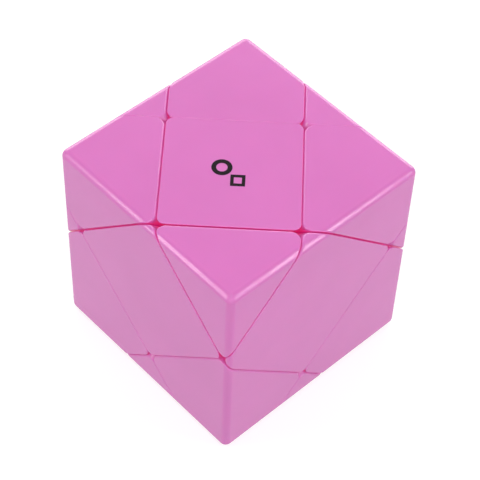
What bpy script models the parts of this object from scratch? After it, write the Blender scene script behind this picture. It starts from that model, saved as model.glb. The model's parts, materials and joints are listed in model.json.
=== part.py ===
"""Cube-shaped corner-turning puzzle whose four cuts meet away from the cube's centre.

Frame: metres, +Z up, origin at the centre of the bottom face, -Y is the front and +X the right.
Every moving piece is modelled about the mechanism centre, where the four turning axes cross,
so each object's origin lies on its own turning axis.
"""

import math
from itertools import combinations, product

import bmesh
import bpy
from mathutils import Vector

# Driving dimensions
EDGE = 0.058                                # outside edge of the cube
MECHANISM_OFFSET = Vector((0.002, -0.004, 0.006))   # from the cube's centre to where the axes cross
SEAM_GAP = 0.00035                          # between neighbouring caps
FIT_GAP = 0.0003                            # between nested pieces
CUBE_EDGE_RADIUS = 0.0018                   # rounding along the cube's twelve edges
CENTRE_ROUNDING = 0.0024                    # radius where two side faces of a face centre meet
CORNER_ROUNDING = 0.0014                    # the same on a corner piece
CAP_WALL = 0.0017                           # thickness of the hollow caps

# Ball mechanism, all radii from the mechanism centre
CORE_RADIUS = 0.0146
FOOT_INNER_RADIUS = 0.0150
FOOT_OUTER_RADIUS = 0.0185
PLATE_RADIUS = 0.0203                       # outside of the plate that sits in the cap
CAP_BALL_RADIUS = 0.0189                    # hollow in the caps, clear of the feet at every turn
FOOT_OVERLAP = 0.0020                       # how far a foot reaches under its neighbour
PLATE_INSET = CAP_WALL + 0.00035            # from a cap's side face to its plate
POST_RADIUS = 0.0022                        # post between a foot's plate and its cap

# Screw, washer and spring, heights measured along the turning axis
SCREW_TIP_HEIGHT = 0.0065
SCREW_SHANK_RADIUS = 0.0012
SCREW_HEAD_HEIGHT = 0.0264                  # underside of the head
SCREW_HEAD_THICKNESS = 0.0018
SCREW_HEAD_RADIUS = 0.0026
SCREW_CROWN_RADIUS = 0.0018                 # flat top of the head, inside its slope
SCREW_CROWN_HEIGHT = 0.0007                 # of the slope
SCREW_SLOT_WIDTH = 0.0006
SCREW_SLOT_LENGTH = 0.0030
SCREW_SLOT_DEPTH = 0.0009
PILOT_RADIUS = 0.0015
PILOT_DEPTH_HEIGHT = 0.0060                 # bottom of the core's screw holes
HUB_BORE_RADIUS = 0.0017
HUB_BORE_START = 0.0070                     # inside the core's space, so the cut goes right through
WASHER_INNER_RADIUS = 0.0015
WASHER_OUTER_RADIUS = 0.0030
WASHER_THICKNESS = 0.0005
SPRING_RADIUS = 0.0023
SPRING_WIRE_RADIUS = 0.00025
SPRING_TURNS = 4

# Facet counts
BALL_SEGMENTS = 24
BALL_RINGS = 12
ROUND_SEGMENTS = 12
SPRING_STEPS_PER_TURN = 10
CUBE_EDGE_FACETS = 2
ROUNDING_FACETS = 2
CURVE_BEVEL_STEPS = 2
SHARP_ANGLE = math.radians(30)              # edges steeper than this stay crisp in the shading
WELD_DISTANCE = 0.00001
CUT_TOLERANCE = 1e-8

CUBE_CENTRE = Vector((0, 0, EDGE / 2))
MECHANISM_CENTRE = CUBE_CENTRE + MECHANISM_OFFSET

# A piece touches a cube face when its direction makes at least this cosine with the face's normal.
TOUCHING_COSINE = 0.1

FACES = {
    "top": Vector((0, 0, 1)),
    "bottom": Vector((0, 0, -1)),
    "front": Vector((0, -1, 0)),
    "back": Vector((0, 1, 0)),
    "left": Vector((-1, 0, 0)),
    "right": Vector((1, 0, 0)),
}


def corner_name(signs):
    """Name of the cube corner at the given signs of x, y and z."""
    x, y, z = signs
    depth = "back" if y > 0 else "front"
    side = "right" if x > 0 else "left"
    level = "top" if z > 0 else "bottom"
    return f"{depth}_{side}_{level}"


CORNERS = {corner_name(signs): Vector(signs).normalized() for signs in product((1, -1), repeat=3)}
FIXED_CORNERS = ("front_right_top", "back_left_top", "front_left_bottom", "back_right_bottom")
TURN_AXES = [CORNERS[name] for name in FIXED_CORNERS]


def face_distance(normal):
    """Distance from the mechanism centre to the cube face with this outward normal."""
    return EDGE / 2 - MECHANISM_OFFSET.dot(normal)


# Half-spaces. A plane is (outward normal, distance from the mechanism centre), and the side
# that the normal points away from is kept.

def side_planes(direction, inset_on_axis_side, inset_on_far_side):
    """The four cut planes around the piece that lies in a direction, moved inwards by the insets.

    The first inset is for planes whose axis side the piece is on, the second for the others.
    """
    planes = []
    for axis in TURN_AXES:
        if axis.dot(direction) > 0:
            planes.append((-axis, -inset_on_axis_side))
        else:
            planes.append((axis, -inset_on_far_side))
    return planes


def rounding_planes(planes, radius, facets):
    """Planes tangent to a cylinder that rounds each edge between neighbouring side planes."""
    rounded = []
    for (first, first_distance), (second, second_distance) in combinations(planes, 2):
        if not shares_edge(first, second, planes):
            continue
        cosine = first.dot(second)
        # The cylinder's axis crosses the plane of the two normals at this point.
        square = 1 - cosine * cosine
        depth_one = first_distance - radius
        depth_two = second_distance - radius
        axis_point = (
            first * (depth_one - cosine * depth_two) + second * (depth_two - cosine * depth_one)
        ) / square
        for step in range(1, facets + 1):
            normal = first.slerp(second, step / (facets + 1))
            rounded.append((normal, normal.dot(axis_point) + radius))
    return rounded


def shares_edge(first, second, planes):
    """Whether the line where two side planes meet stays inside all the other side planes."""
    line = first.cross(second)
    others = [normal for normal, _ in planes if normal not in (first, second)]
    return any(all(normal.dot(line * sign) < 0 for normal in others) for sign in (1, -1))


def trim(bm, planes):
    """Cut a convex mesh back to each plane and close the cut."""
    for normal, distance in planes:
        geometry = bm.verts[:] + bm.edges[:] + bm.faces[:]
        cut = bmesh.ops.bisect_plane(
            bm, geom=geometry, dist=CUT_TOLERANCE,
            plane_co=normal * distance, plane_no=normal, clear_outer=True,
        )
        rim = [item for item in cut["geom_cut"] if isinstance(item, bmesh.types.BMEdge)]
        if rim:
            bmesh.ops.edgeloop_fill(bm, edges=rim)
    bmesh.ops.recalc_face_normals(bm, faces=bm.faces[:])


# Scene helpers

def clear_scene():
    for existing in list(bpy.data.objects):
        bpy.data.objects.remove(existing, do_unlink=True)


def make_collection(name):
    collection = bpy.data.collections.new(name)
    bpy.context.scene.collection.children.link(collection)
    return collection


def make_material(name, color, roughness, metallic=0.0):
    material = bpy.data.materials.new(name)
    material.use_nodes = True
    shader = material.node_tree.nodes["Principled BSDF"]
    shader.inputs["Base Color"].default_value = (*color, 1.0)
    shader.inputs["Roughness"].default_value = roughness
    shader.inputs["Metallic"].default_value = metallic
    return material


def add_object(name, bm, collection):
    """Turn a bmesh built about the mechanism centre into an object placed there."""
    mesh = bpy.data.meshes.new(name)
    bm.to_mesh(mesh)
    bm.free()
    piece = bpy.data.objects.new(name, mesh)
    piece.location = MECHANISM_CENTRE
    collection.objects.link(piece)
    return piece


def add_cutter(name, bm):
    cutter = add_object(name, bm, cutters)
    hide_as_cutter(cutter)
    return cutter


def hide_as_cutter(cutter):
    cutter.hide_render = True
    cutter.display_type = "WIRE"


def boolean(piece, operation, operand):
    modifier = piece.modifiers.new(f"{operation.title()} {operand.name}", "BOOLEAN")
    modifier.operation = operation
    modifier.solver = "EXACT"
    modifier.object = operand


def finish_piece(piece, material):
    piece.data.materials.clear()
    piece.data.materials.append(material)
    piece.data.shade_smooth()
    piece.data.set_sharp_from_angle(angle=SHARP_ANGLE)


def turn_to(piece, axis):
    """Stand a piece that was modelled along +Z on the given axis through the mechanism centre."""
    piece.rotation_mode = "QUATERNION"
    piece.rotation_quaternion = Vector((0, 0, 1)).rotation_difference(axis)


# Shapes

def ball(radius):
    bm = bmesh.new()
    bmesh.ops.create_uvsphere(bm, u_segments=BALL_SEGMENTS, v_segments=BALL_RINGS, radius=radius)
    return bm


def ball_sector(radius, planes):
    bm = ball(radius)
    trim(bm, planes)
    return bm


def rod(radius, start, end):
    """A cylinder along +Z between two heights."""
    bm = bmesh.new()
    bmesh.ops.create_cone(
        bm, cap_ends=True, segments=ROUND_SEGMENTS, radius1=radius, radius2=radius, depth=end - start,
    )
    bmesh.ops.translate(bm, verts=bm.verts[:], vec=(0, 0, (start + end) / 2))
    return bm


def cube_about_mechanism(size):
    bm = bmesh.new()
    bmesh.ops.create_cube(bm, size=size)
    bmesh.ops.translate(bm, verts=bm.verts[:], vec=-MECHANISM_OFFSET)
    return bm


def cap_solid(direction, rounding):
    """The part of the rounded cube that belongs to the piece lying in a direction."""
    bm = cube_about_mechanism(EDGE)
    bmesh.ops.bevel(
        bm, geom=bm.edges[:], offset=CUBE_EDGE_RADIUS, segments=CUBE_EDGE_FACETS,
        profile=0.5, affect="EDGES",
    )
    sides = side_planes(direction, SEAM_GAP / 2, SEAM_GAP / 2)
    trim(bm, sides + rounding_planes(sides, rounding, ROUNDING_FACETS))
    return bm


def cap_cavity(direction):
    """The hollow inside a cap, one wall thickness in from its outer and side faces."""
    bm = cube_about_mechanism(EDGE - 2 * CAP_WALL)
    inset = SEAM_GAP / 2 + CAP_WALL
    trim(bm, side_planes(direction, inset, inset))
    return bm


def add_cap(name, direction, rounding):
    cap = add_object(name, cap_solid(direction, rounding), parts)
    boolean(cap, "DIFFERENCE", cap_ball_cutter)
    boolean(cap, "DIFFERENCE", add_cutter(f"{name}_cavity", cap_cavity(direction)))
    finish_piece(cap, shell_plastic)


def add_foot(name, direction):
    """Shell segment that slides between the core and its neighbours, with a plate inside its cap."""
    reach = side_planes(direction, -FOOT_OVERLAP + SEAM_GAP / 2, FOOT_OVERLAP + SEAM_GAP / 2)
    foot = add_object(name, ball_sector(FOOT_OUTER_RADIUS, reach), parts)
    inset = SEAM_GAP / 2 + PLATE_INSET
    plate = ball_sector(PLATE_RADIUS, side_planes(direction, inset, inset))
    boolean(foot, "UNION", add_cutter(f"{name}_plate", plate))
    finish_piece(foot, foot_plastic)
    return foot


def post_top(direction):
    """Height along a direction at which a post stops short of the inside of its cap."""
    heights = []
    for normal in FACES.values():
        cosine = normal.dot(direction)
        if cosine > TOUCHING_COSINE:
            room = face_distance(normal) - CAP_WALL - FIT_GAP
            heights.append((room - POST_RADIUS * math.sqrt(1 - cosine * cosine)) / cosine)
    return min(heights)


def add_posted_foot(name, direction):
    foot = add_foot(name, direction)
    post = add_cutter(f"{name}_post", rod(POST_RADIUS, FOOT_INNER_RADIUS, post_top(direction)))
    turn_to(post, direction)
    boolean(foot, "UNION", post)
    boolean(foot, "DIFFERENCE", foot_ball_cutter)


def add_hub(name, direction):
    hub = add_foot(name, direction)
    boolean(hub, "DIFFERENCE", foot_ball_cutter)
    bore = add_cutter(f"{name}_bore", rod(HUB_BORE_RADIUS, HUB_BORE_START, SCREW_HEAD_HEIGHT))
    turn_to(bore, direction)
    boolean(hub, "DIFFERENCE", bore)


def add_core():
    core = add_object("core_ball", ball(CORE_RADIUS), parts)
    for name in FIXED_CORNERS:
        pilot = add_cutter(f"pilot_{name}", rod(PILOT_RADIUS, PILOT_DEPTH_HEIGHT, SCREW_HEAD_HEIGHT))
        turn_to(pilot, CORNERS[name])
        boolean(core, "DIFFERENCE", pilot)
    finish_piece(core, core_plastic)


def turned(name, profile, closed):
    """A solid of revolution about +Z from (radius, height) points that run down the outside."""
    bm = bmesh.new()
    points = [bm.verts.new((radius, 0, height)) for radius, height in profile]
    for start, end in zip(points, points[1:]):
        bm.edges.new((start, end))
    if closed:
        bm.edges.new((points[-1], points[0]))
    piece = add_object(name, bm, parts)
    screw = piece.modifiers.new("Turn", "SCREW")
    screw.steps = ROUND_SEGMENTS
    screw.render_steps = ROUND_SEGMENTS
    screw.use_merge_vertices = True
    screw.merge_threshold = WELD_DISTANCE
    return piece


def add_screw(name, direction):
    """Pan-head screw with a cross recess, pointed into the core."""
    head_top = SCREW_HEAD_HEIGHT + SCREW_HEAD_THICKNESS
    profile = [
        (0, head_top),
        (SCREW_CROWN_RADIUS, head_top),
        (SCREW_HEAD_RADIUS, head_top - SCREW_CROWN_HEIGHT),
        (SCREW_HEAD_RADIUS, SCREW_HEAD_HEIGHT),
        (SCREW_SHANK_RADIUS, SCREW_HEAD_HEIGHT),
        (SCREW_SHANK_RADIUS, SCREW_TIP_HEIGHT + SCREW_SHANK_RADIUS),
        (0, SCREW_TIP_HEIGHT),
    ]
    screw = turned(name, profile, closed=False)
    turn_to(screw, direction)
    slot_sizes = {
        "slot": (SCREW_SLOT_LENGTH, SCREW_SLOT_WIDTH, 2 * SCREW_SLOT_DEPTH),
        "cross_slot": (SCREW_SLOT_WIDTH, SCREW_SLOT_LENGTH, 2 * SCREW_SLOT_DEPTH),
    }
    for slot_name, size in slot_sizes.items():
        bm = bmesh.new()
        bmesh.ops.create_cube(bm, size=1)
        bmesh.ops.scale(bm, verts=bm.verts[:], vec=size)
        bmesh.ops.translate(bm, verts=bm.verts[:], vec=(0, 0, head_top))
        slot = add_cutter(f"{name}_{slot_name}", bm)
        turn_to(slot, direction)
        boolean(screw, "DIFFERENCE", slot)
    finish_piece(screw, steel)


def add_washer(name, direction):
    top = SCREW_HEAD_HEIGHT - FIT_GAP
    bottom = top - WASHER_THICKNESS
    profile = [
        (WASHER_INNER_RADIUS, top),
        (WASHER_OUTER_RADIUS, top),
        (WASHER_OUTER_RADIUS, bottom),
        (WASHER_INNER_RADIUS, bottom),
    ]
    washer = turned(name, profile, closed=True)
    turn_to(washer, direction)
    finish_piece(washer, steel)
    return washer


def add_spring(name, direction):
    """Compression coil between the hub's plate and the washer."""
    bottom = PLATE_RADIUS + FIT_GAP + SPRING_WIRE_RADIUS
    top = SCREW_HEAD_HEIGHT - WASHER_THICKNESS - 2 * FIT_GAP - SPRING_WIRE_RADIUS
    steps = SPRING_TURNS * SPRING_STEPS_PER_TURN
    coil = bpy.data.curves.new(name, "CURVE")
    coil.dimensions = "3D"
    coil.bevel_depth = SPRING_WIRE_RADIUS
    coil.bevel_resolution = CURVE_BEVEL_STEPS
    coil.use_fill_caps = True
    spline = coil.splines.new("POLY")
    spline.points.add(steps)
    for step, point in enumerate(spline.points):
        angle = 2 * math.pi * step / SPRING_STEPS_PER_TURN
        height = bottom + (top - bottom) * step / steps
        point.co = (SPRING_RADIUS * math.cos(angle), SPRING_RADIUS * math.sin(angle), height, 1)
    spring = bpy.data.objects.new(name, coil)
    spring.location = MECHANISM_CENTRE
    turn_to(spring, direction)
    coil.materials.append(steel)
    parts.objects.link(spring)


clear_scene()
parts = make_collection("Corner-turning puzzle cube")
cutters = make_collection("Cutters")
shell_plastic = make_material("Shell plastic", (0.71, 0.17, 0.52), 0.32)
foot_plastic = make_material("Foot plastic", (0.65, 0.07, 0.26), 0.45)
core_plastic = make_material("Core plastic", (0.65, 0.07, 0.26), 0.45)
steel = make_material("Zinc-plated steel", (0.62, 0.63, 0.65), 0.30, metallic=1.0)

cap_ball_cutter = add_cutter("cap_ball", ball(CAP_BALL_RADIUS))
foot_ball_cutter = add_cutter("foot_ball", ball(FOOT_INNER_RADIUS))

add_core()
for corner, corner_direction in CORNERS.items():
    add_cap(f"corner_cap_{corner}", corner_direction, CORNER_ROUNDING)
    if corner in FIXED_CORNERS:
        add_hub(f"corner_hub_{corner}", corner_direction)
        add_screw(f"tension_screw_{corner}", corner_direction)
        add_washer(f"spring_washer_{corner}", corner_direction)
        add_spring(f"tension_spring_{corner}", corner_direction)
    else:
        add_posted_foot(f"corner_foot_{corner}", corner_direction)
for face, face_normal in FACES.items():
    add_cap(f"centre_cap_{face}", face_normal, CENTRE_ROUNDING)
    add_posted_foot(f"centre_foot_{face}", face_normal)
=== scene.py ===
"""Looks of the cube-shaped corner-turning puzzle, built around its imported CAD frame.

Metres, +Z up. Every piece is modelled about the mechanism centre, where the four turning axes
cross, and its object is placed there.
"""

import json
import math
from itertools import combinations

import bmesh
import bpy
from mathutils import Matrix, Quaternion, Vector


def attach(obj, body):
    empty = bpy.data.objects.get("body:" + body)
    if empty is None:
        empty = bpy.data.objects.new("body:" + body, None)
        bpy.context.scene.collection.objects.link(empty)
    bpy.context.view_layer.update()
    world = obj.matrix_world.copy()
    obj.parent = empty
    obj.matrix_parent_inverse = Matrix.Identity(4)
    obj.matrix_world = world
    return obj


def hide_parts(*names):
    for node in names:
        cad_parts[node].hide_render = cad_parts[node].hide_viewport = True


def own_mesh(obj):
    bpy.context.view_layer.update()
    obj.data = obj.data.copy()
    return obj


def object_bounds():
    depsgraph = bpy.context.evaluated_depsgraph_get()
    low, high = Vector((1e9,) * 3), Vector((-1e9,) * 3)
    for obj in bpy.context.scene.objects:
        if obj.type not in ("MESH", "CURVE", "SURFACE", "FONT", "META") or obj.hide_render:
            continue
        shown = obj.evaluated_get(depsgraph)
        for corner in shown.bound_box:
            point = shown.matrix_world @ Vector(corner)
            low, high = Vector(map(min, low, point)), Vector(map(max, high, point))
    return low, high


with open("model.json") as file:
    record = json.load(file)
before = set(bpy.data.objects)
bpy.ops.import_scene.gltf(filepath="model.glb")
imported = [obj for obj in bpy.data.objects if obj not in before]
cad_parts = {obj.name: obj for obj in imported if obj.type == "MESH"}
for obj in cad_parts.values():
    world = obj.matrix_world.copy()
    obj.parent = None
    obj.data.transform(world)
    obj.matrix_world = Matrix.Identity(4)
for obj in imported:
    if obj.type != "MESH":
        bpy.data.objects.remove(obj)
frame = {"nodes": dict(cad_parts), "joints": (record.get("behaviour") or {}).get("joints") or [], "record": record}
cad_low, cad_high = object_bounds()


def joints_named(prefix):
    """Joints whose names start with a prefix, each by the corner that the name ends with."""
    return {
        joint["name"].removeprefix(prefix): joint
        for joint in frame["joints"] if joint["name"].startswith(prefix)
    }


# What the frame gives
EDGE = cad_high.x - cad_low.x
CUBE_CENTRE = (cad_low + cad_high) / 2
TURNS = joints_named("turn_")
TURN_AXES = {corner: Vector(joint["axis"]).normalized() for corner, joint in TURNS.items()}
MECHANISM_CENTRE = Vector(next(iter(TURNS.values()))["pos_m"])
BODY_OF_NODE = {
    node: body for body, nodes in frame["record"]["behaviour"]["bodies"].items() for node in nodes
}

# Caps, the hollow pieces that make the outer skin
CUT_GAPS = {                        # the layers don't all sit equally close
    "back_left_top": 0.00026,
    "front_left_bottom": 0.00024,
    "back_right_bottom": 0.00020,
    "front_right_top": 0.00003,
}
WIDEST_GAP = max(CUT_GAPS.values())
CUT_FILLETS = {                     # softening of the caps' rims along each cut
    "back_left_top": 0.00045,
    "front_left_bottom": 0.00045,
    "back_right_bottom": 0.00045,
    "front_right_top": 0.00028,
}
FILLET_BLEND = 8                    # how sharply the fillet changes from one cut to the next
CUBE_EDGE_RADIUS = 0.0018
CENTRE_ROUNDING = 0.0024            # where two side faces of a face centre meet
CORNER_ROUNDING = 0.0014            # the same on a corner piece
CAP_WALL = 0.0017
CAP_BALL_RADIUS = 0.0189

# Ball mechanism, all radii from the mechanism centre
CORE_RADIUS = 0.0146
FOOT_INNER_RADIUS = 0.0150
FOOT_OUTER_RADIUS = 0.0185
PLATE_RADIUS = 0.0203
FOOT_OVERLAP = 0.0020
PLATE_INSET = CAP_WALL + 0.00035
POST_RADIUS = 0.0022
HUB_BORE_RADIUS = 0.0017
PILOT_RADIUS = 0.0015
PILOT_BOTTOM = 0.0060

# Screw, washer and spring, heights along the turning axis
SCREW_TIP_HEIGHT = 0.0065
SCREW_SHANK_RADIUS = 0.0012
SCREW_HEAD_HEIGHT = 0.0264
SCREW_HEAD_THICKNESS = 0.0018
SCREW_HEAD_RADIUS = 0.0026
SCREW_CROWN_STEPS = 8
THREAD_PITCH = 0.0005
THREAD_DEPTH = 0.0002
RECESS_LENGTH = 0.0030
RECESS_WIDTH = 0.0006
RECESS_DEPTH = 0.0009
WASHER_INNER_RADIUS = 0.0015
WASHER_OUTER_RADIUS = 0.0030
WASHER_THICKNESS = 0.0005
WASHER_ROUNDING = 0.00012
FIT_GAP = 0.0003
SPRING_RADIUS = 0.0023
SPRING_WIRE_RADIUS = 0.00025
SPRING_TURNS = 4

# Print on the top face: a ring and a diamond side by side
MARK_HALF_WIDTH = 0.0024
MARK_LINE = 0.0011
MARK_SPACING = 0.0053
MARK_FORWARD = 0.00065
MARK_THICKNESS = 0.00003
RING_CORNERS = 64
DIAMOND_CORNERS = 4

# Mesh fineness
CUBE_EDGE_SEGMENTS = 6
ROUNDING_FACETS = 7
SEAM_FACETS = 3
BALL_SEGMENTS = 72
ROUND_SEGMENTS = 40
SPRING_STEPS_PER_TURN = 32
WIRE_RESOLUTION = 4
SMALLEST_EDGE = 0.000002
WELD_DISTANCE = 0.00001
CUT_TOLERANCE = 1e-8
SHARP_ANGLE = 35                    # edges that turn by more are shaded sharp, in degrees
BALL_SHARP_ANGLE = 25               # the same on the core, the feet and the hubs

# A piece touches a cube face when its direction makes at least this cosine with the face's normal.
TOUCHING_COSINE = 0.1

FACES = {
    "top": Vector((0, 0, 1)),
    "bottom": Vector((0, 0, -1)),
    "front": Vector((0, -1, 0)),
    "back": Vector((0, 1, 0)),
    "left": Vector((-1, 0, 0)),
    "right": Vector((1, 0, 0)),
}


def direction_of(node):
    """Direction of a piece from the mechanism centre, from the face words in its name."""
    words = [FACES[word] for word in node.split("_") if word in FACES]
    return sum(words, Vector()).normalized()


# Half-spaces about the mechanism centre: (outward normal, distance). The side behind is kept.

def cut_sides(direction):
    """For each cut: its corner, its normal facing away from the piece that lies in a direction,
    and whether the piece is on the corner's side."""
    sides = []
    for corner, axis in TURN_AXES.items():
        on_corner_side = axis.dot(direction) > 0
        sides.append((corner, -axis if on_corner_side else axis.copy(), on_corner_side))
    return sides


def cap_planes(direction):
    """Side faces of a cap, half a gap away from each cut."""
    return [
        (normal, -CUT_GAPS[corner] / 2) for corner, normal, _ in cut_sides(direction)
    ]


def inset_planes(direction, inset):
    return [(normal, -inset - WIDEST_GAP / 2) for _, normal, _ in cut_sides(direction)]


def foot_planes(direction):
    """A foot reaches under its neighbours across some cuts, and makes room across the others."""
    return [
        (normal, (FOOT_OVERLAP if on_corner_side else -FOOT_OVERLAP) - WIDEST_GAP / 2)
        for _, normal, on_corner_side in cut_sides(direction)
    ]


def shares_edge(first, second, planes):
    """Whether the line where two side planes meet stays inside all the other side planes."""
    line = first.cross(second)
    others = [normal for normal, _ in planes if normal not in (first, second)]
    return any(all(normal.dot(line * sign) < 0 for normal in others) for sign in (1, -1))


def tangent_planes(first, second, radius, facets):
    """Planes tangent to the cylinder that rounds the edge where two planes meet."""
    cosine = first[0].dot(second[0])
    depth_one = first[1] - radius
    depth_two = second[1] - radius
    axis_point = (
        first[0] * (depth_one - cosine * depth_two) + second[0] * (depth_two - cosine * depth_one)
    ) / (1 - cosine * cosine)
    normals = [first[0].slerp(second[0], step / (facets + 1)) for step in range(1, facets + 1)]
    return [(normal, normal.dot(axis_point) + radius) for normal in normals]


def rounding_planes(planes, radius):
    """What rounds the edges that run from the mechanism outwards, between side faces."""
    rounded = []
    for first, second in combinations(planes, 2):
        if shares_edge(first[0], second[0], planes):
            rounded += tangent_planes(first, second, radius, ROUNDING_FACETS)
    return rounded


def is_side_face(face):
    """Side faces pass close to the mechanism centre, and the outer skin doesn't."""
    return abs(face.normal.dot(face.verts[0].co)) < CAP_BALL_RADIUS / 2


def fillet_along(normal):
    """Fillet of the cut a side face follows, mixed where the face rounds into another cut."""
    shares = {corner: normal.dot(axis) ** FILLET_BLEND for corner, axis in TURN_AXES.items()}
    total = sum(shares.values())
    return sum(CUT_FILLETS[corner] * share for corner, share in shares.items()) / total


def seam_planes(bm):
    """What rounds the rim of a cap, where its side faces meet the cube's skin."""
    rounded = []
    for edge in bm.edges:
        faces = edge.link_faces
        if len(faces) != 2 or is_side_face(faces[0]) == is_side_face(faces[1]):
            continue
        first, second = ((face.normal.copy(), face.normal.dot(face.verts[0].co)) for face in faces)
        side_normal = first[0] if is_side_face(faces[0]) else second[0]
        turn = first[0].angle(second[0])
        radius = fillet_along(side_normal) / math.tan(turn / 2)
        rounded += tangent_planes(first, second, radius, SEAM_FACETS)
    return rounded


# Meshes about the mechanism centre

def trim(bm, planes):
    """Cut a convex mesh back to each plane and close the cut."""
    for normal, distance in planes:
        cut = bmesh.ops.bisect_plane(
            bm, geom=bm.verts[:] + bm.edges[:] + bm.faces[:], dist=CUT_TOLERANCE,
            plane_co=normal * distance, plane_no=normal, clear_outer=True,
        )
        rim = [item for item in cut["geom_cut"] if isinstance(item, bmesh.types.BMEdge)]
        if rim:
            bmesh.ops.edgeloop_fill(bm, edges=rim)
    bmesh.ops.recalc_face_normals(bm, faces=bm.faces[:])


def cube_about_mechanism(size):
    bm = bmesh.new()
    bmesh.ops.create_cube(bm, size=size)
    bmesh.ops.translate(bm, verts=bm.verts[:], vec=CUBE_CENTRE - MECHANISM_CENTRE)
    return bm


def cap_outside(direction, rounding):
    bm = cube_about_mechanism(EDGE)
    bmesh.ops.bevel(
        bm, geom=bm.edges[:], offset=CUBE_EDGE_RADIUS, segments=CUBE_EDGE_SEGMENTS,
        profile=0.5, affect="EDGES",
    )
    sides = cap_planes(direction)
    trim(bm, sides + rounding_planes(sides, rounding))
    trim(bm, seam_planes(bm))
    bmesh.ops.dissolve_degenerate(bm, edges=bm.edges[:], dist=SMALLEST_EDGE)
    return bm


def cap_cavity(direction):
    bm = cube_about_mechanism(EDGE - 2 * CAP_WALL)
    trim(bm, inset_planes(direction, CAP_WALL))
    return bm


def ball(radius, planes=()):
    bm = bmesh.new()
    bmesh.ops.create_uvsphere(
        bm, u_segments=BALL_SEGMENTS, v_segments=BALL_SEGMENTS // 2, radius=radius,
    )
    trim(bm, planes)
    return bm


def stand_along(bm, direction):
    """Turn what was modelled along +Z to a direction."""
    turn = Vector((0, 0, 1)).rotation_difference(direction).to_matrix()
    bmesh.ops.rotate(bm, verts=bm.verts[:], cent=(0, 0, 0), matrix=turn)


def rod(radius, start, end, direction):
    """A cylinder between two heights along a direction."""
    bm = bmesh.new()
    bmesh.ops.create_cone(
        bm, cap_ends=True, segments=ROUND_SEGMENTS, radius1=radius, radius2=radius,
        depth=end - start,
    )
    bmesh.ops.translate(bm, verts=bm.verts[:], vec=(0, 0, (start + end) / 2))
    stand_along(bm, direction)
    return bm


def block(size, height, direction):
    """A box whose middle is at a height along a direction."""
    bm = bmesh.new()
    bmesh.ops.create_cube(bm, size=1)
    bmesh.ops.scale(bm, verts=bm.verts[:], vec=size)
    bmesh.ops.translate(bm, verts=bm.verts[:], vec=(0, 0, height))
    stand_along(bm, direction)
    return bm


def turned(profile, direction):
    """A solid of revolution from the (radius, height) points of its half section."""
    bm = bmesh.new()
    points = [bm.verts.new((radius, 0, height)) for radius, height in profile]
    pairs = list(zip(points, points[1:]))
    if profile[0][0] > 0:
        pairs.append((points[-1], points[0]))
    edges = [bm.edges.new(pair) for pair in pairs]
    bmesh.ops.spin(
        bm, geom=points + edges, cent=(0, 0, 0), axis=(0, 0, 1), angle=2 * math.pi,
        steps=ROUND_SEGMENTS,
    )
    bmesh.ops.remove_doubles(bm, verts=bm.verts[:], dist=WELD_DISTANCE)
    bmesh.ops.recalc_face_normals(bm, faces=bm.faces[:])
    stand_along(bm, direction)
    return bm


# Objects

def add_object(name, bm):
    mesh = bpy.data.meshes.new(name)
    bm.to_mesh(mesh)
    bm.free()
    piece = bpy.data.objects.new(name, mesh)
    piece.location = MECHANISM_CENTRE
    bpy.context.scene.collection.objects.link(piece)
    return piece


def combine(piece, operation, *meshes):
    """Join each mesh to a piece, or take it away, for good."""
    others = [add_object("Other", bm) for bm in meshes]
    for other in others:
        modifier = piece.modifiers.new("Combine", "BOOLEAN")
        modifier.operation = operation
        modifier.solver = "EXACT"
        modifier.object = other
    evaluated = piece.evaluated_get(bpy.context.evaluated_depsgraph_get())
    piece.data = bpy.data.meshes.new_from_object(evaluated)
    piece.modifiers.clear()
    for other in others:
        bpy.data.objects.remove(other, do_unlink=True)


def finish_piece(piece, node, material, sharp_angle=SHARP_ANGLE):
    """Shade a piece, and let it ride and be shown in the place of its CAD node."""
    piece.data.materials.clear()
    piece.data.materials.append(material)
    piece.data.shade_smooth()
    piece.data.set_sharp_from_angle(angle=math.radians(sharp_angle))
    weighted = piece.modifiers.new("Weighted normals", "WEIGHTED_NORMAL")
    weighted.keep_sharp = True
    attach(piece, BODY_OF_NODE[node])
    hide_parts(node)


# Materials

NOISE_LOW = 0.3                     # most noise values lie between these two
NOISE_HIGH = 0.7


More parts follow.
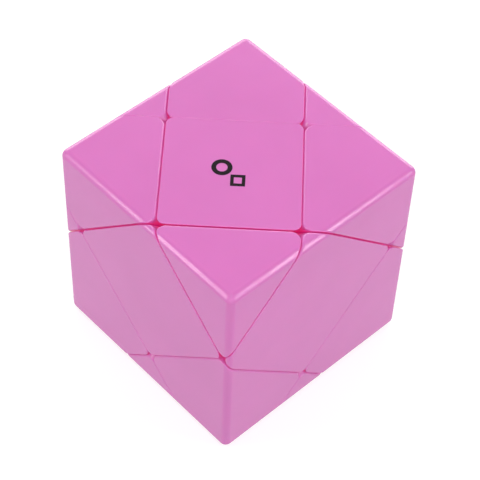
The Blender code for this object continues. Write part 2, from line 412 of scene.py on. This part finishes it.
class Surface:
    """A material around its Principled shader, with textures fixed to the piece."""

    def __init__(self, name):
        self.material = bpy.data.materials.new(name)
        self.material.use_nodes = True
        self.tree = self.material.node_tree
        self.shader = self.tree.nodes["Principled BSDF"]
        self.place = self.add("ShaderNodeTexCoord").outputs["Object"]

    def add(self, kind, **values):
        """A node with some of its inputs set."""
        node = self.tree.nodes.new(kind)
        self.fill(node, values)
        return node

    def fill(self, node, values):
        for socket, value in values.items():
            node.inputs[socket.replace("_", " ")].default_value = value

    def set(self, **values):
        self.fill(self.shader, values)

    def link(self, output, socket):
        self.tree.links.new(output, self.shader.inputs[socket])

    def noise(self, scale, detail=2):
        texture = self.add("ShaderNodeTexNoise", Scale=scale, Detail=detail)
        self.tree.links.new(self.place, texture.inputs["Vector"])
        return texture.outputs["Fac"]

    def spread(self, value, low, high, start=NOISE_LOW, end=NOISE_HIGH):
        """A value between start and end, mapped to low and high."""
        mapped = self.add(
            "ShaderNodeMapRange", From_Min=start, From_Max=end, To_Min=low, To_Max=high,
        )
        self.tree.links.new(value, mapped.inputs["Value"])
        return mapped.outputs["Result"]

    def mix(self, share, first, second):
        """A colour between two, from a share of 0 to 1."""
        mix = self.tree.nodes.new("ShaderNodeMix")
        mix.data_type = "RGBA"
        self.tree.links.new(share, mix.inputs["Factor"])
        sockets = [socket for socket in mix.inputs if socket.type == "RGBA"]
        sockets[0].default_value = (*first, 1)
        sockets[1].default_value = (*second, 1)
        return next(output for output in mix.outputs if output.type == "RGBA")

    def ramp(self, value, stops):
        """A colour that runs through (value, colour) stops."""
        ramp = self.tree.nodes.new("ShaderNodeValToRGB")
        elements = ramp.color_ramp.elements
        elements.remove(elements[1])
        for index, (position, color) in enumerate(stops):
            element = elements.new(position) if index else elements[0]
            element.position = position
            element.color = (*color, 1)
        self.tree.links.new(value, ramp.inputs["Fac"])
        return ramp.outputs["Color"]

    def tint(self, value, dark, light):
        """Base colour that drifts between two colours."""
        self.link(self.mix(self.spread(value, 0, 1), dark, light), "Base Color")

    def bump(self, height, strength, distance, under=None):
        bump = self.add("ShaderNodeBump", Strength=strength, Distance=distance)
        self.tree.links.new(height, bump.inputs["Height"])
        if under:
            self.tree.links.new(under, bump.inputs["Normal"])
        return bump.outputs["Normal"]


def scaled(color, factor):
    return tuple(channel * factor for channel in color)


OUTER_PINK = (0.80, 0.195, 0.60)
# Inner red: partly the mechanism's own colour, partly painted light, a deeper red standing in for light filtered
# through the pink walls
INNER_RED = (0.72, 0.045, 0.13)
DARKER_TINT = 0.97
LIGHTER_TINT = 1.02
PLASTIC_UNEVENNESS = 0.02           # how far its roughness drifts either way

# Painted glow, by place: emission that stands in for light that has come through the walls
PAINTED_GAP_GLOW = (0.72, 0.03, 0.30)       # deep in the narrow gap between two caps
PAINTED_OPENING_GLOW = (1.0, 0.02, 0.04)    # in a star-shaped opening
PAINTED_RIM_GLOW = (0.9, 0.05, 0.38)        # near the outside
PAINTED_GLOW = 0.28                         # emission strength where it is strongest
DEEPEST_SHARE = 0.5                 # of that strength, where a place is fully enclosed
DEEP_OPENNESS = 0.08                # places less open than this glow less than the strongest
GLOW_OPENNESS = 0.03                # the glow fades out from this openness
DARK_OPENNESS = 0.30                # to this one
OPENNESS_SAMPLES = 16


def make_plastic(name, color, roughness, painted_glow_reach, painted_glow_stops):
    """Satin moulded plastic, with a painted glow in its narrow gaps: emission, keyed to how enclosed a place is,
    that stands in for light passing through its walls, in a colour that depends on how open the place is, given as
    (openness, colour) stops."""
    surface = Surface(name)
    drift = surface.noise(scale=45, detail=3)
    surface.tint(drift, scaled(color, DARKER_TINT), scaled(color, LIGHTER_TINT))
    sheen = surface.noise(scale=260)
    smoothest = roughness - PLASTIC_UNEVENNESS
    roughest = roughness + PLASTIC_UNEVENNESS
    surface.link(surface.spread(sheen, smoothest, roughest), "Roughness")
    wave = surface.noise(scale=90, detail=1)
    ripple = surface.bump(wave, strength=0.15, distance=0.0004)
    speckle = surface.noise(scale=420, detail=1)
    grain = surface.bump(speckle, strength=0.06, distance=0.00003, under=ripple)
    surface.link(grain, "Normal")
    surface.set(
        IOR=1.56, Subsurface_Weight=0.2, Subsurface_Scale=0.0008, Subsurface_Radius=(1.0, 0.25, 0.5),
    )
    # Painted glow: emission where the surface is enclosed, standing in for light that comes through the walls
    occlusion = surface.add("ShaderNodeAmbientOcclusion", Distance=painted_glow_reach)
    occlusion.samples = OPENNESS_SAMPLES
    openness = occlusion.outputs["AO"]
    surface.link(surface.ramp(openness, painted_glow_stops), "Emission Color")
    brightest = surface.spread(openness, DEEPEST_SHARE * PAINTED_GLOW, PAINTED_GLOW, start=0, end=DEEP_OPENNESS)
    strength = surface.spread(openness, PAINTED_GLOW, 0, start=GLOW_OPENNESS, end=DARK_OPENNESS)
    surface.tree.links.new(brightest, strength.node.inputs["To Min"])
    surface.link(strength, "Emission Strength")
    return surface.material


METAL_DARKER_TINT = 0.88
METAL_POLISH = 0.04                 # roughness lost where metal is polished
METAL_WEAR = 0.06                   # roughness gained where it is worn


def make_metal(name, color, roughness):
    """Bright metal, slightly uneven."""
    surface = Surface(name)
    surface.tint(surface.noise(scale=300, detail=3), scaled(color, METAL_DARKER_TINT), color)
    wear = surface.noise(scale=900)
    smoothest = roughness - METAL_POLISH
    roughest = roughness + METAL_WEAR
    surface.link(surface.spread(wear, smoothest, roughest), "Roughness")
    surface.link(surface.bump(wear, strength=0.1, distance=0.00002), "Normal")
    surface.set(Metallic=1.0)
    return surface.material


def make_ink():
    """Pad-printed black ink, slightly uneven."""
    surface = Surface("Printed ink")
    surface.tint(surface.noise(scale=900), (0.004, 0.002, 0.003), (0.014, 0.006, 0.010))
    surface.link(surface.spread(surface.noise(scale=700), low=0.45, high=0.60), "Roughness")
    surface.set(Specular_IOR_Level=0.1)
    return surface.material


# Both plastics carry the painted glow in their gaps and openings
outer_plastic = make_plastic(
    "Outer plastic", OUTER_PINK, roughness=0.22, painted_glow_reach=0.004,
    painted_glow_stops=[(0.0, PAINTED_GAP_GLOW), (0.08, PAINTED_OPENING_GLOW), (0.30, PAINTED_RIM_GLOW)],
)
inner_plastic = make_plastic(
    "Inner plastic", INNER_RED, roughness=0.45, painted_glow_reach=0.010,
    painted_glow_stops=[(0.05, PAINTED_OPENING_GLOW), (0.25, PAINTED_RIM_GLOW)],
)
screw_steel = make_metal("Zinc-plated steel", (0.62, 0.63, 0.65), roughness=0.33)
washer_steel = make_metal("Turned steel", (0.60, 0.60, 0.60), roughness=0.36)
spring_steel = make_metal("Drawn steel", (0.50, 0.50, 0.52), roughness=0.20)
printed_ink = make_ink()


# Pieces

def build_cap(node):
    direction = direction_of(node)
    rounding = CENTRE_ROUNDING if node.startswith("centre") else CORNER_ROUNDING
    cap = add_object(f"{node}_fine", cap_outside(direction, rounding))
    combine(cap, "DIFFERENCE", ball(CAP_BALL_RADIUS), cap_cavity(direction))
    finish_piece(cap, node, outer_plastic)


def post_top(direction):
    """Height along a direction at which a post stops short of the inside of its cap."""
    heights = []
    for normal in FACES.values():
        cosine = normal.dot(direction)
        if cosine > TOUCHING_COSINE:
            face_distance = EDGE / 2 - (MECHANISM_CENTRE - CUBE_CENTRE).dot(normal)
            room = face_distance - CAP_WALL - FIT_GAP
            heights.append((room - POST_RADIUS * math.sqrt(1 - cosine * cosine)) / cosine)
    return min(heights)


def build_foot(node):
    """Ball segment that slides between the core and its neighbours, with a plate and a post."""
    direction = direction_of(node)
    foot = add_object(f"{node}_fine", ball(FOOT_OUTER_RADIUS, foot_planes(direction)))
    plate = ball(PLATE_RADIUS, inset_planes(direction, PLATE_INSET))
    post = rod(POST_RADIUS, FOOT_INNER_RADIUS, post_top(direction), direction)
    combine(foot, "UNION", plate, post)
    combine(foot, "DIFFERENCE", ball(FOOT_INNER_RADIUS))
    finish_piece(foot, node, inner_plastic, sharp_angle=BALL_SHARP_ANGLE)


def build_hub(node):
    """A fixed corner's foot, bored for its screw."""
    direction = direction_of(node)
    hub = add_object(f"{node}_fine", ball(FOOT_OUTER_RADIUS, foot_planes(direction)))
    combine(hub, "UNION", ball(PLATE_RADIUS, inset_planes(direction, PLATE_INSET)))
    bore = rod(HUB_BORE_RADIUS, CORE_RADIUS / 2, SCREW_HEAD_HEIGHT, direction)
    combine(hub, "DIFFERENCE", ball(FOOT_INNER_RADIUS), bore)
    finish_piece(hub, node, inner_plastic, sharp_angle=BALL_SHARP_ANGLE)


def build_core(node):
    core = add_object(f"{node}_fine", ball(CORE_RADIUS))
    pilots = [
        rod(PILOT_RADIUS, PILOT_BOTTOM, SCREW_HEAD_HEIGHT, axis) for axis in TURN_AXES.values()
    ]
    combine(core, "DIFFERENCE", *pilots)
    finish_piece(core, node, inner_plastic, sharp_angle=BALL_SHARP_ANGLE)


def build_screw(node):
    """Pan-head screw with a cross recess, threaded where it is in the core."""
    direction = direction_of(node)
    head_top = SCREW_HEAD_HEIGHT + SCREW_HEAD_THICKNESS
    profile = []
    for step in range(SCREW_CROWN_STEPS + 1):
        angle = math.pi / 2 * step / SCREW_CROWN_STEPS
        drop = SCREW_HEAD_THICKNESS * (1 - math.cos(angle)) / 2
        profile.append((SCREW_HEAD_RADIUS * math.sin(angle), head_top - drop))
    profile.append((SCREW_HEAD_RADIUS, SCREW_HEAD_HEIGHT))
    profile.append((SCREW_SHANK_RADIUS, SCREW_HEAD_HEIGHT))
    point_height = SCREW_TIP_HEIGHT + SCREW_SHANK_RADIUS
    ridges = round((CORE_RADIUS - point_height) / THREAD_PITCH)
    for ridge in range(ridges):
        height = CORE_RADIUS - ridge * THREAD_PITCH
        profile.append((SCREW_SHANK_RADIUS, height))
        profile.append((SCREW_SHANK_RADIUS - THREAD_DEPTH, height - THREAD_PITCH / 2))
    profile.append((SCREW_SHANK_RADIUS, point_height - THREAD_PITCH / 2))
    profile.append((0, SCREW_TIP_HEIGHT))
    screw = add_object(f"{node}_fine", turned(profile, direction))
    combine(
        screw, "DIFFERENCE",
        block((RECESS_LENGTH, RECESS_WIDTH, 2 * RECESS_DEPTH), head_top, direction),
        block((RECESS_WIDTH, RECESS_LENGTH, 2 * RECESS_DEPTH), head_top, direction),
    )
    finish_piece(screw, node, screw_steel)


def washer_heights():
    top = SCREW_HEAD_HEIGHT - FIT_GAP
    return top - WASHER_THICKNESS, top


def build_washer(node):
    bottom, top = washer_heights()
    profile = [
        (WASHER_INNER_RADIUS + WASHER_ROUNDING, top),
        (WASHER_OUTER_RADIUS - WASHER_ROUNDING, top),
        (WASHER_OUTER_RADIUS, top - WASHER_ROUNDING),
        (WASHER_OUTER_RADIUS, bottom + WASHER_ROUNDING),
        (WASHER_OUTER_RADIUS - WASHER_ROUNDING, bottom),
        (WASHER_INNER_RADIUS + WASHER_ROUNDING, bottom),
        (WASHER_INNER_RADIUS, bottom + WASHER_ROUNDING),
        (WASHER_INNER_RADIUS, top - WASHER_ROUNDING),
    ]
    washer = add_object(f"{node}_fine", turned(profile, direction_of(node)))
    finish_piece(washer, node, washer_steel)


def coil_mesh(bottom, top):
    """Round wire wound about +Z between two heights of its centre line."""
    steps = SPRING_TURNS * SPRING_STEPS_PER_TURN
    curve = bpy.data.curves.new("Coil", "CURVE")
    curve.dimensions = "3D"
    curve.bevel_depth = SPRING_WIRE_RADIUS
    curve.bevel_resolution = WIRE_RESOLUTION
    curve.use_fill_caps = True
    spline = curve.splines.new("POLY")
    spline.points.add(steps)
    for step, point in enumerate(spline.points):
        angle = 2 * math.pi * step / SPRING_STEPS_PER_TURN
        height = bottom + (top - bottom) * step / steps
        point.co = (SPRING_RADIUS * math.cos(angle), SPRING_RADIUS * math.sin(angle), height, 1)
    coil = bpy.data.objects.new("Coil", curve)
    bpy.context.scene.collection.objects.link(coil)
    evaluated = coil.evaluated_get(bpy.context.evaluated_depsgraph_get())
    bm = bmesh.new()
    bm.from_mesh(bpy.data.meshes.new_from_object(evaluated))
    bpy.data.objects.remove(coil, do_unlink=True)
    bmesh.ops.remove_doubles(bm, verts=bm.verts[:], dist=SMALLEST_EDGE)
    return bm


def build_spring(node):
    """Coil spring from just above the plate to just under its washer."""
    direction = direction_of(node)
    washer_bottom, _ = washer_heights()
    bottom = PLATE_RADIUS + FIT_GAP
    top = washer_bottom - FIT_GAP
    bm = coil_mesh(bottom + SPRING_WIRE_RADIUS, top - SPRING_WIRE_RADIUS)
    stand_along(bm, direction)
    spring = add_object(f"{node}_fine", bm)
    finish_piece(spring, node, spring_steel)
    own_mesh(spring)


def add_outline(bm, centre, corners):
    """A flat closed band around a centre, with as many corners as asked."""
    inner = MARK_HALF_WIDTH - MARK_LINE
    section = [
        (MARK_HALF_WIDTH, 0), (MARK_HALF_WIDTH, MARK_THICKNESS), (inner, MARK_THICKNESS), (inner, 0),
    ]
    angles = [2 * math.pi * step / corners for step in range(corners)]
    loops = [
        [
            bm.verts.new(centre + Matrix.Rotation(angle, 3, "Z") @ Vector((radius, 0, height)))
            for angle in angles
        ]
        for radius, height in section
    ]
    for loop, next_loop in zip(loops, loops[1:] + loops[:1]):
        for step in range(corners):
            following = (step + 1) % corners
            bm.faces.new((loop[step], loop[following], next_loop[following], next_loop[step]))


def build_mark():
    bm = bmesh.new()
    surface = cad_high.z - MECHANISM_CENTRE.z
    add_outline(bm, Vector((-MARK_SPACING / 2, -MARK_FORWARD, surface)), RING_CORNERS)
    add_outline(bm, Vector((MARK_SPACING / 2, -MARK_FORWARD, surface)), DIAMOND_CORNERS)
    bmesh.ops.recalc_face_normals(bm, faces=bm.faces[:])
    mark = add_object("printed_mark", bm)
    mark.data.materials.append(printed_ink)
    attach(mark, BODY_OF_NODE["centre_cap_top"])


BUILDERS = {
    "cap": build_cap,
    "foot": build_foot,
    "hub": build_hub,
    "ball": build_core,
    "screw": build_screw,
    "washer": build_washer,
    "spring": build_spring,
}

for node in sorted(frame["nodes"]):
    kind = next(word for word in node.split("_") if word in BUILDERS)
    BUILDERS[kind](node)
build_mark()


# Stage

FLOOR_SIZE = 6
FLOOR_CLEARANCE = 0.0001
NEAR_FLOOR = 0.15                   # distances between which the floor turns white
FAR_FLOOR = 1.2
NEAR_FLOOR_GLOW = 0.72
FAR_FLOOR_GLOW = 1.0
FLOOR_LIGHT = 0.05                  # its emission as a light, not as seen
WORLD_SEEN = 1.0
WORLD_LIGHT = 0.1


def add_floor():
    """Pale floor, brighter to the eye and in reflections than as a light."""
    floor_height = cad_low.z - FLOOR_CLEARANCE
    bpy.ops.mesh.primitive_plane_add(size=FLOOR_SIZE, location=(0, 0, floor_height))
    floor = bpy.context.object
    floor.name = "floor"
    surface = Surface("Floor")
    surface.tint(surface.noise(scale=3), (0.41, 0.41, 0.41), (0.44, 0.44, 0.44))
    surface.set(Roughness=0.9, Specular_IOR_Level=0, Emission_Color=(1, 1, 1, 1))
    reach = surface.tree.nodes.new("ShaderNodeVectorMath")
    reach.operation = "LENGTH"
    surface.tree.links.new(surface.place, reach.inputs[0])
    seen = surface.spread(
        reach.outputs["Value"], NEAR_FLOOR_GLOW, FAR_FLOOR_GLOW, start=NEAR_FLOOR, end=FAR_FLOOR,
    )
    rays = surface.add("ShaderNodeLightPath")
    strength = surface.spread(rays.outputs["Is Diffuse Ray"], 1, FLOOR_LIGHT, start=0, end=1)
    surface.tree.links.new(seen, strength.node.inputs["To Min"])
    surface.link(strength, "Emission Strength")
    floor.data.materials.append(surface.material)


def add_world():
    """White surroundings, brighter in reflections than as a light."""
    world = bpy.data.worlds.new("Studio")
    bpy.context.scene.world = world
    world.use_nodes = True
    tree = world.node_tree
    background = tree.nodes["Background"]
    background.inputs["Color"].default_value = (1, 1, 1, 1)
    rays = tree.nodes.new("ShaderNodeLightPath")
    strength = tree.nodes.new("ShaderNodeMapRange")
    strength.inputs["To Min"].default_value = WORLD_SEEN
    strength.inputs["To Max"].default_value = WORLD_LIGHT
    tree.links.new(rays.outputs["Is Diffuse Ray"], strength.inputs["Value"])
    tree.links.new(strength.outputs["Result"], background.inputs["Strength"])


def direction_towards(azimuth, elevation):
    turn = math.radians(azimuth)
    lift = math.radians(elevation)
    return Vector((
        math.sin(turn) * math.cos(lift), -math.cos(turn) * math.cos(lift), math.sin(lift)
    ))


def add_softbox(name, azimuth, elevation, distance, size, power, roll=0):
    """A softbox that faces the puzzle, its size given as width and height."""
    light = bpy.data.lights.new(name, "AREA")
    light.shape = "RECTANGLE"
    light.size, light.size_y = size
    light.energy = power
    lamp = bpy.data.objects.new(name, light)
    back = direction_towards(azimuth, elevation)
    lamp.location = CUBE_CENTRE + back * distance
    lamp.rotation_mode = "QUATERNION"
    spin = Quaternion((0, 0, 1), math.radians(roll))
    lamp.rotation_quaternion = back.to_track_quat("Z", "Y") @ spin
    bpy.context.scene.collection.objects.link(lamp)


CAMERA_AZIMUTH = 45.48              # degrees from the front towards the right
CAMERA_ELEVATION = 50.54
CAMERA_ROLL = 2.51
CAMERA_DISTANCE = 0.40292
CAMERA_SIDEWAYS = 0.00103
CAMERA_LENS = 125.85                # millimetres, on a sensor of 36 mm
CAMERA_SENSOR = 36
CAMERA_NEAREST = 0.01


def add_camera():
    lens = bpy.data.cameras.new("Camera")
    lens.lens = CAMERA_LENS
    lens.sensor_width = CAMERA_SENSOR
    lens.clip_start = CAMERA_NEAREST
    camera = bpy.data.objects.new("Camera", lens)
    bpy.context.scene.collection.objects.link(camera)
    bpy.context.scene.camera = camera
    back = direction_towards(CAMERA_AZIMUTH, CAMERA_ELEVATION)
    turn = back.to_track_quat("Z", "Y").to_matrix()
    turn = turn @ Matrix.Rotation(math.radians(CAMERA_ROLL), 3, "Z")
    location = CUBE_CENTRE + back * CAMERA_DISTANCE + turn.col[0] * CAMERA_SIDEWAYS
    camera.matrix_world = Matrix.Translation(location) @ turn.to_4x4()


add_floor()
add_world()
for name, azimuth, roll in (("left softbox", -31, 16), ("right softbox", 121, -16)):
    add_softbox(
        name, azimuth, elevation=28, distance=0.8, size=(0.08, 0.68), power=1.85, roll=roll,
    )
add_softbox("front fill", azimuth=48, elevation=25, distance=1.2, size=(2.2, 1.0), power=8.1)
add_softbox("back fill", azimuth=225, elevation=20, distance=1.2, size=(2.2, 0.8), power=14)
add_softbox("top softbox", azimuth=45, elevation=80, distance=0.9, size=(0.6, 0.6), power=1.95)
add_camera()
bpy.context.scene.view_settings.view_transform = "Standard"
